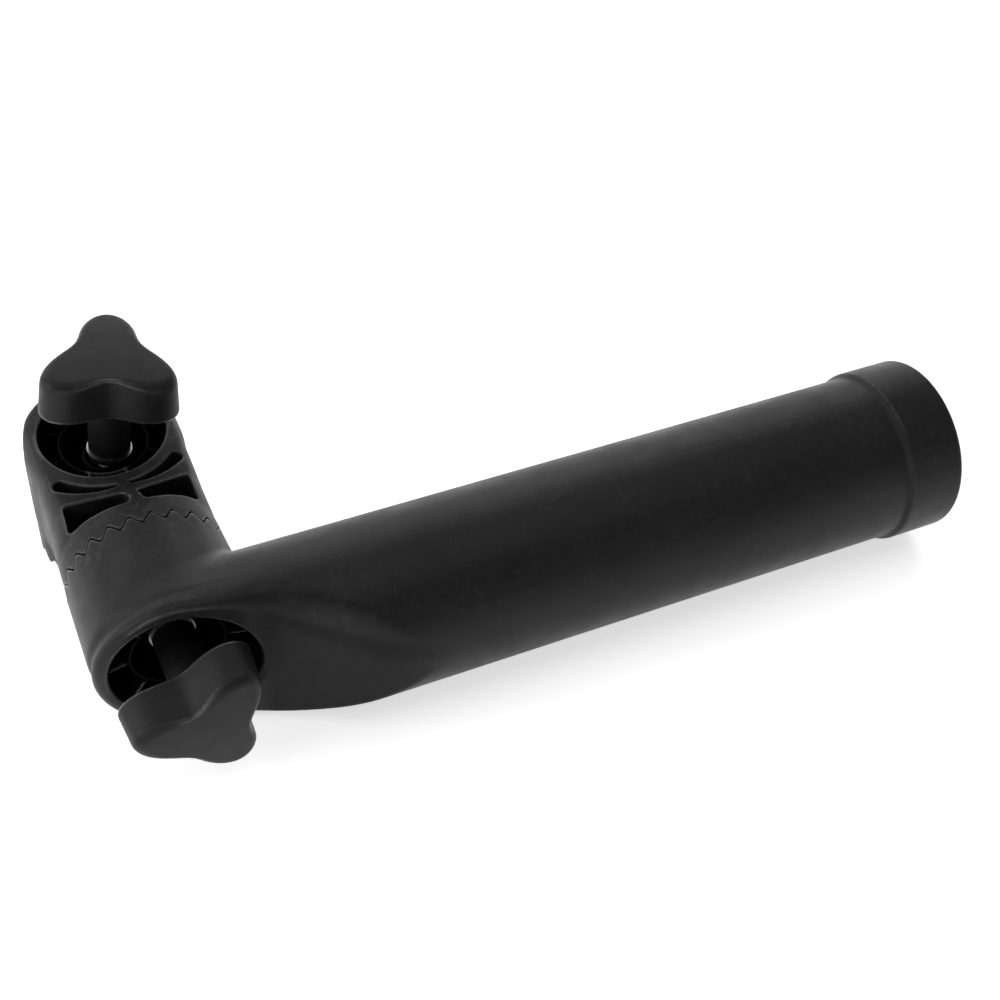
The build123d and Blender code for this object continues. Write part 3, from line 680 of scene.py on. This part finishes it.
def plastic(name, dark, light, wear_and_highlight, mottle_scale, roughness, rubbed_ior, scuffs=0.0, seam=False):
    """Moulded nylon: mottled tone, edges lightened as wear and as painted highlight, scuffs, fine grain,
    pale specks, uneven gloss and painted shade in recesses.
    """
    material, tree, shader = new_material(name)
    coords = tree.nodes.new("ShaderNodeTexCoord").outputs["Object"]
    place = tree.nodes.new("ShaderNodeSeparateXYZ")
    tree.links.new(coords, place.inputs["Vector"])
    x, y, z = place.outputs
    # painted shade weight carried on the mesh
    depth = attribute(tree, "painted_shade")

    mottle = noise(tree, coords, mottle_scale, 6.0, 0.65)
    colour = mixed(tree, spread(tree, mottle, 0.35, 0.7), dark, light)
    if scuffs:
        marks = product(tree, scuff_marks(tree, coords, y, mottle_scale), scuffs)
        colour = mixed(tree, marks, colour, wear_and_highlight)
    breakup = spread(tree, noise(tree, coords, mottle_scale * 4, 5.0), 0.3, 0.65, 0.6, 1.0)
    # edges under painted shade get neither the wear colour nor the painted highlight
    in_open = spread(tree, depth, 0.1, 0.7, 1.0, 0.0)
    # lighter edge colour: partly edge wear, partly painted highlight; the gloss change is the wear alone
    edge_wear_and_highlight = product(tree, attribute(tree, "edge"), breakup, in_open)
    colour = mixed(tree, edge_wear_and_highlight, colour, wear_and_highlight)
    specks = spread(tree, noise(tree, coords, 1700, 0.0), 0.83, 0.86, 0.0, 0.2)
    colour = mixed(tree, specks, colour, (0.12, 0.12, 0.12))
    grain = noise(tree, coords, 2600, 2.0)
    if seam:
        line = seam_line(tree, x, y, z)
        colour = mixed(tree, product(tree, line, 0.85), colour, SHADE)
        grain = maths(tree, "SUBTRACT", grain, product(tree, line, 2.0))
    # painted shade: recesses and the slanted end darken towards near-black
    colour = mixed(tree, depth, colour, SHADE)

    gloss = noise(tree, coords, mottle_scale * 2.3, 3.0)
    rough = spread(tree, gloss, 0.3, 0.7, roughness - 0.05, roughness + 0.07)
    rough = maths(tree, "SUBTRACT", rough, product(tree, edge_wear_and_highlight, 0.26))
    bump = tree.nodes.new("ShaderNodeBump")
    for socket, value in (("Strength", 0.3), ("Distance", 0.00012), ("Height", grain)):
        feed(tree, bump.inputs[socket], value)
    # painted shade also lowers the specular level in recesses
    looks = {"Base Color": colour, "Roughness": rough, "Normal": bump.outputs["Normal"],
             "IOR": spread(tree, edge_wear_and_highlight, 0.0, 1.0, PLASTIC_IOR, rubbed_ior),
             "Specular IOR Level": spread(tree, depth, 0.0, 1.0, 0.5, 0.06)}
    for socket, value in looks.items():
        feed(tree, shader.inputs[socket], value)
    return material


def metal(name, colour, roughness):
    """Machined metal with an uneven polish."""
    material, tree, shader = new_material(name)
    coords = tree.nodes.new("ShaderNodeTexCoord").outputs["Object"]
    wear = noise(tree, coords, 900, 4.0)
    looks = {"Metallic": 1.0, "Base Color": colour,
             "Roughness": spread(tree, wear, 0.3, 0.7, roughness - 0.06, roughness + 0.1)}
    for socket, value in looks.items():
        feed(tree, shader.inputs[socket], value)
    return material


def assign(piece, material):
    """Give a piece one material."""
    piece.data.materials.clear()
    piece.data.materials.append(material)


def dress(arm, tube, upper, front):
    """Materials of every shown piece."""
    arm_plastic = plastic("arm_nylon", (0.0065, 0.0065, 0.0067), (0.012, 0.012, 0.0122), (0.04, 0.04, 0.041),
                          60, 0.46, 1.33, scuffs=0.9)
    tube_plastic = plastic("tube_nylon", (0.0065, 0.0065, 0.0067), (0.0095, 0.0095, 0.0097),
                           (0.045, 0.045, 0.046), 40, 0.4, 1.36, scuffs=0.7, seam=True)
    knob_plastic = plastic("knob_nylon", (0.0055, 0.0055, 0.0056), (0.0085, 0.0085, 0.0087),
                           (0.03, 0.03, 0.031), 90, 0.43, 1.6)
    assign(arm, arm_plastic)
    assign(tube, tube_plastic)
    assign(upper, knob_plastic)
    assign(front, knob_plastic)
    steel = metal("stainless_steel", (0.32, 0.32, 0.33), 0.32)
    brass = metal("brass", (0.6, 0.45, 0.2), 0.35)
    nylon = plastic("natural_nylon", (0.6, 0.59, 0.55), (0.7, 0.69, 0.65), (0.72, 0.71, 0.68), 90, 0.4, 1.4)
    carried = {"tilt_nut": brass, "tilt_stud": steel, "tilt_washer": steel, "swivel_stud": steel,
               "swivel_washer": steel, "swivel_retainer": nylon}
    for node, material in carried.items():
        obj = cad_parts[node]
        for slot in obj.material_slots:
            slot.material = material


# ---- floor, lights and camera --------------------------------------------------------------------------
def floor():
    """Plain pale floor under the object."""
    bottom = cad_bounds[0][2] - 0.0002
    mesh = bpy.data.meshes.new("floor")
    half = 6.0
    corners = [(x * half, y * half, bottom) for x, y in ((-1, -1), (1, -1), (1, 1), (-1, 1))]
    mesh.from_pydata(corners, [], [(0, 1, 2, 3)])
    obj = bpy.data.objects.new("floor", mesh)
    bpy.context.scene.collection.objects.link(obj)
    material, tree, shader = new_material("pale_floor")
    looks = {"Base Color": (0.95, 0.95, 0.95), "Roughness": 0.9, "Emission Color": (1, 1, 1),
             "Emission Strength": 0.55}
    for socket, value in looks.items():
        feed(tree, shader.inputs[socket], value)
    mesh.materials.append(material)


def area_light(name, position, target, size, power):
    """Soft rectangular light aimed at a point."""
    data = bpy.data.lights.new(name, "AREA")
    data.shape = "RECTANGLE"
    data.size, data.size_y = size
    data.energy = power
    obj = bpy.data.objects.new(name, data)
    obj.location = position
    direction = Vector(target) - Vector(position)
    obj.rotation_euler = direction.to_track_quat("-Z", "Y").to_euler()
    bpy.context.scene.collection.objects.link(obj)


def lights():
    """White studio: bright surround and soft lights over and beside the object."""
    world = bpy.data.worlds.new("studio")
    world.use_nodes = True
    tree = world.node_tree
    heading = tree.nodes.new("ShaderNodeSeparateXYZ")
    tree.links.new(tree.nodes.new("ShaderNodeTexCoord").outputs["Generated"], heading.inputs["Vector"])
    rise = spread(tree, heading.outputs["Z"], 0.05, 0.6, 1.0, 0.25)
    side = spread(tree, heading.outputs["Y"], -0.8, 0.8, 0.8, 1.15)
    background = tree.nodes["Background"]
    feed(tree, background.inputs["Color"], (1, 1, 1))
    feed(tree, background.inputs["Strength"], product(tree, rise, side))
    bpy.context.scene.world = world
    bpy.context.scene.view_settings.view_transform = "Standard"
    middle = (0.1, -0.07, 0.03)
    soft_boxes = (("overhead", (0.1, -0.1, 1.2), (1.4, 1.0), 4.0),
                  ("back", (0.1, 0.95, 0.75), (2.0, 0.8), 8.0),
                  ("front_left", (-0.6, -0.75, 0.25), (0.2, 0.35), 1.5),
                  ("left_side", (-1.0, 0.1, 0.6), (0.9, 0.9), 7.0))
    for name, position, size, power in soft_boxes:
        area_light(name, position, middle, size, power)


def camera():
    """Camera looking down at the object from its front left."""
    azimuth, elevation, roll = 29.8385, 47.2633, 6.7128
    distance, lens = 0.50153, 56.573
    target = Vector((0.11136, -0.05522, 0.026))
    a, e = math.radians(azimuth), math.radians(elevation)
    forward = Vector((math.sin(a) * math.cos(e), math.cos(a) * math.cos(e), -math.sin(e)))
    right = forward.cross(Vector((0, 0, 1))).normalized()
    up = right.cross(forward)
    basis = Matrix((right, up, -forward)).transposed() @ Matrix.Rotation(math.radians(roll), 3, "Z")
    data = bpy.data.cameras.new("camera")
    data.lens = lens
    data.sensor_width = 36.0
    obj = bpy.data.objects.new("camera", data)
    obj.matrix_world = Matrix.Translation(target - forward * distance) @ basis.to_4x4()
    bpy.context.scene.collection.objects.link(obj)
    bpy.context.scene.camera = obj


dress(*build_shapes())
floor()
lights()
camera()
